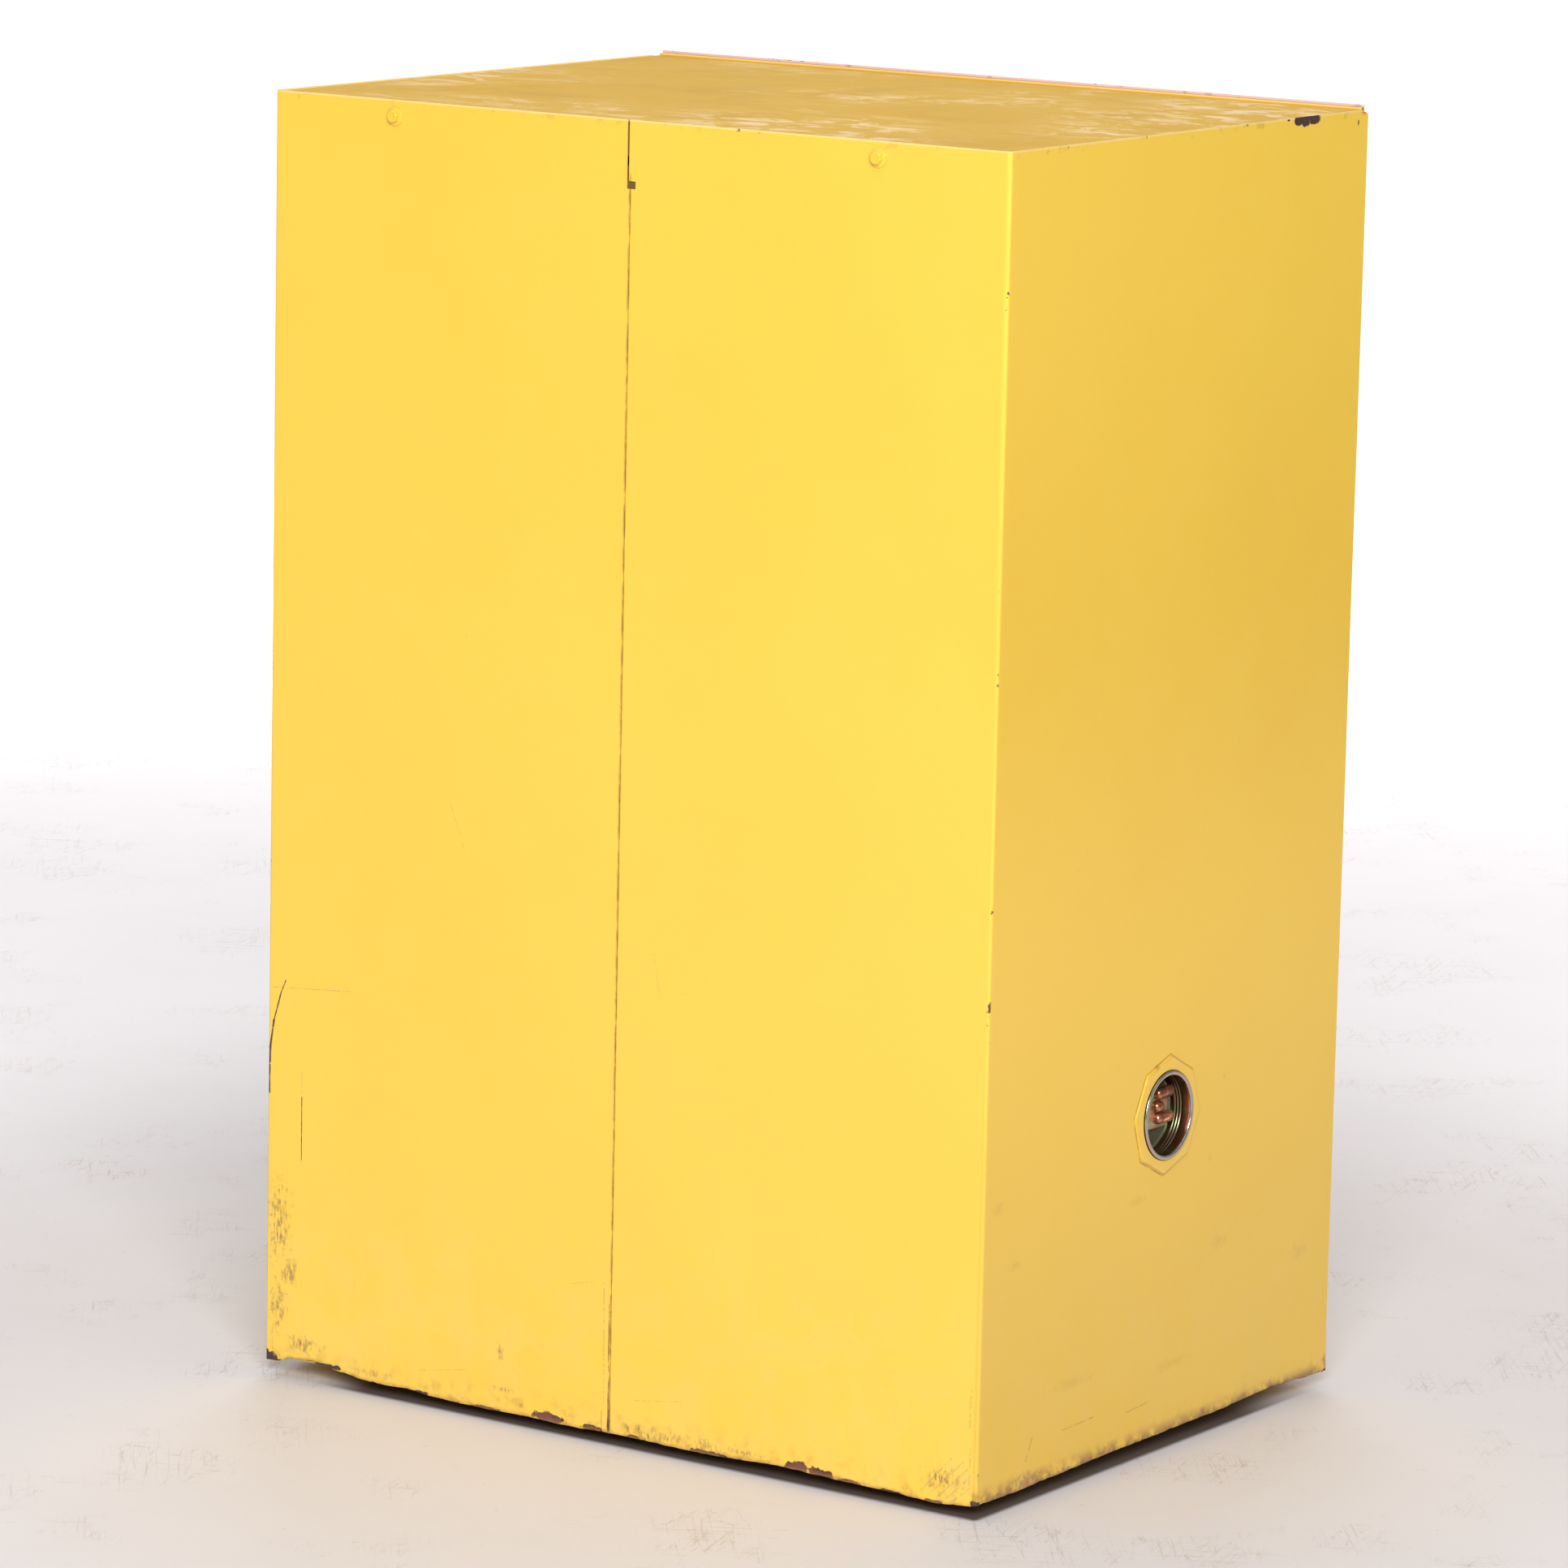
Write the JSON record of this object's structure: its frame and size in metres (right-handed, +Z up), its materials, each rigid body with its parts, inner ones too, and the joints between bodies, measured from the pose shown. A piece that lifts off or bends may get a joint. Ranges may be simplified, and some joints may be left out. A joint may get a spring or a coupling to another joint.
{
  "type": "flammable storage cabinet",
  "caption": "Compact double-walled yellow steel safety cabinet with a hinged door, rod latch, shelf, spill sump, plugged vents and levelling feet.",
  "frame": {"origin": "on the floor, under the middle of the whole cabinet", "axes": "+Z up, +Y towards the back panel, the door on the -Y side, +X to the right of someone who faces the door"},
  "size_m": [0.5968, 0.474, 0.892],
  "materials": {
    "cabinet_enamel": "glossy yellow baked enamel, scuffed and chipped",
    "liner_enamel": "semi-gloss yellow enamel inside",
    "screw_enamel": "painted over in yellow",
    "zinc_steel": "bright zinc plated steel",
    "galvanised": "galvanised sheet with a fine spangle",
    "plain_steel": "plain steel, lightly oiled",
    "chromate_zinc": "yellow chromate zinc with a faint iridescence",
    "chromate_copper": "copper-brown stamped lugs",
    "lever_metal": "satin chromed die casting",
    "lock_brass": "worn brass",
    "gasket_rubber": "black rubber",
    "arrester_brass": "fine brass screen in a steel ring",
    "foot_plastic": "black moulded pad"
  },
  "bodies": {
    "cabinet": {"left_wrap_panel": "cabinet_enamel", "right_wrap_panel": "cabinet_enamel", "top_panel": "cabinet_enamel", "bottom_pan": "cabinet_enamel", "back_screws": "screw_enamel", "grounding_screw": "zinc_steel", "front_header": "cabinet_enamel", "front_sill": "cabinet_enamel", "hinge_jamb": "cabinet_enamel", "latch_jamb": "cabinet_enamel", "liner_left_side": "liner_enamel", "liner_right_side": "liner_enamel", "liner_back": "liner_enamel", "liner_top": "liner_enamel", "sump_pan": "liner_enamel", "shelf_standards": "galvanised", "shelf_clips": "zinc_steel", "frame_hinge_leaf": "zinc_steel", "hinge_pin": "plain_steel", "foot_weld_nuts": "plain_steel", "lower_vent_flange": "plain_steel", "lower_vent_sleeve": "galvanised", "lower_flame_arrester": "arrester_brass", "upper_vent_flange": "plain_steel", "upper_vent_sleeve": "galvanised", "upper_flame_arrester": "arrester_brass"},
    "door": {"door_outer_skin": "cabinet_enamel", "door_inner_pan": "liner_enamel", "door_stiffener": "plain_steel", "latch_plate": "plain_steel", "spindle_bush": "lock_brass", "rod_guides": "plain_steel", "escutcheon": "lever_metal", "escutcheon_screws": "zinc_steel", "door_hinge_leaf": "zinc_steel"},
    "handle": {"handle_lever": "lever_metal", "spindle": "plain_steel", "lock_barrel": "lever_metal", "latch_cam": "zinc_steel"},
    "key_plug": {"lock_plug": "lock_brass"},
    "upper_bolt": {"top_rod": "zinc_steel"},
    "lower_bolt": {"bottom_rod": "zinc_steel"},
    "shelf_tray": {"shelf": "galvanised"},
    "lower_washer": {"lower_plug_gasket": "gasket_rubber"},
    "lower_plug": {"lower_vent_plug": "chromate_zinc", "lower_plug_lugs": "chromate_copper"},
    "upper_washer": {"upper_plug_gasket": "gasket_rubber"},
    "upper_plug": {"upper_vent_plug": "chromate_zinc", "upper_plug_lugs": "chromate_copper"},
    "leveller_front_left": {"foot_front_left": "foot_plastic", "lock_nut_front_left": "zinc_steel"},
    "leveller_front_right": {"foot_front_right": "foot_plastic", "lock_nut_front_right": "zinc_steel"},
    "leveller_rear_left": {"foot_rear_left": "foot_plastic", "lock_nut_rear_left": "zinc_steel"},
    "leveller_rear_right": {"foot_rear_right": "foot_plastic", "lock_nut_rear_right": "zinc_steel"}
  },
  "joints": [
    {"name": "door_hinge", "type": "hinge", "parent": "cabinet", "child": "door", "pos_m": [-0.2672, -0.211, 0.479], "axis": [0, 0, -1], "range_deg": [0, 170]},
    {"name": "handle_turn", "type": "hinge", "parent": "door", "child": "handle", "pos_m": [0.218, -0.207, 0.479], "axis": [0, -1, 0], "range_deg": [0, 90]},
    {"name": "key_turn", "type": "hinge", "parent": "handle", "child": "key_plug", "pos_m": [0.218, -0.229, 0.479], "axis": [0, -1, 0], "range_deg": [0, 90]},
    {"name": "top_rod_slide", "type": "slide", "parent": "door", "child": "upper_bolt", "axis": [0, 0, 1], "range_m": [0, 0.0184]},
    {"name": "bottom_rod_slide", "type": "slide", "parent": "door", "child": "lower_bolt", "axis": [0, 0, -1], "range_m": [0, 0.0184]},
    {"name": "shelf_lift", "type": "slide", "parent": "cabinet", "child": "shelf_tray", "axis": [0, 0, 1], "range_m": [0, 0.025]},
    {"name": "lower_plug_travel", "type": "slide", "parent": "cabinet", "child": "lower_washer", "axis": [-1, 0, 0], "range_m": [0, 0.00881]},
    {"name": "lower_plug_turn", "type": "hinge", "parent": "lower_washer", "child": "lower_plug", "pos_m": [-0.295, 0.013, 0.232], "axis": [-1, 0, 0], "range_deg": [0, 1440]},
    {"name": "upper_plug_travel", "type": "slide", "parent": "cabinet", "child": "upper_washer", "axis": [1, 0, 0], "range_m": [0, 0.00881]},
    {"name": "upper_plug_turn", "type": "hinge", "parent": "upper_washer", "child": "upper_plug", "pos_m": [0.295, 0.013, 0.779], "axis": [1, 0, 0], "range_deg": [0, 1440]},
    {"name": "leveller_front_left_screw", "type": "slide", "parent": "cabinet", "child": "leveller_front_left", "axis": [0, 0, 1], "range_m": [-0.02, 0]},
    {"name": "leveller_front_right_screw", "type": "slide", "parent": "cabinet", "child": "leveller_front_right", "axis": [0, 0, 1], "range_m": [-0.02, 0]},
    {"name": "leveller_rear_left_screw", "type": "slide", "parent": "cabinet", "child": "leveller_rear_left", "axis": [0, 0, 1], "range_m": [-0.02, 0]},
    {"name": "leveller_rear_right_screw", "type": "slide", "parent": "cabinet", "child": "leveller_rear_right", "axis": [0, 0, 1], "range_m": [-0.02, 0]}
  ],
  "couplings": [
    {"joint": "top_rod_slide", "follows": "handle_turn", "m_per_rad": 0.011704},
    {"joint": "bottom_rod_slide", "follows": "handle_turn", "m_per_rad": 0.011704},
    {"joint": "lower_plug_travel", "follows": "lower_plug_turn", "m_per_rad": 0.00035014},
    {"joint": "upper_plug_travel", "follows": "upper_plug_turn", "m_per_rad": 0.00035014}
  ]
}
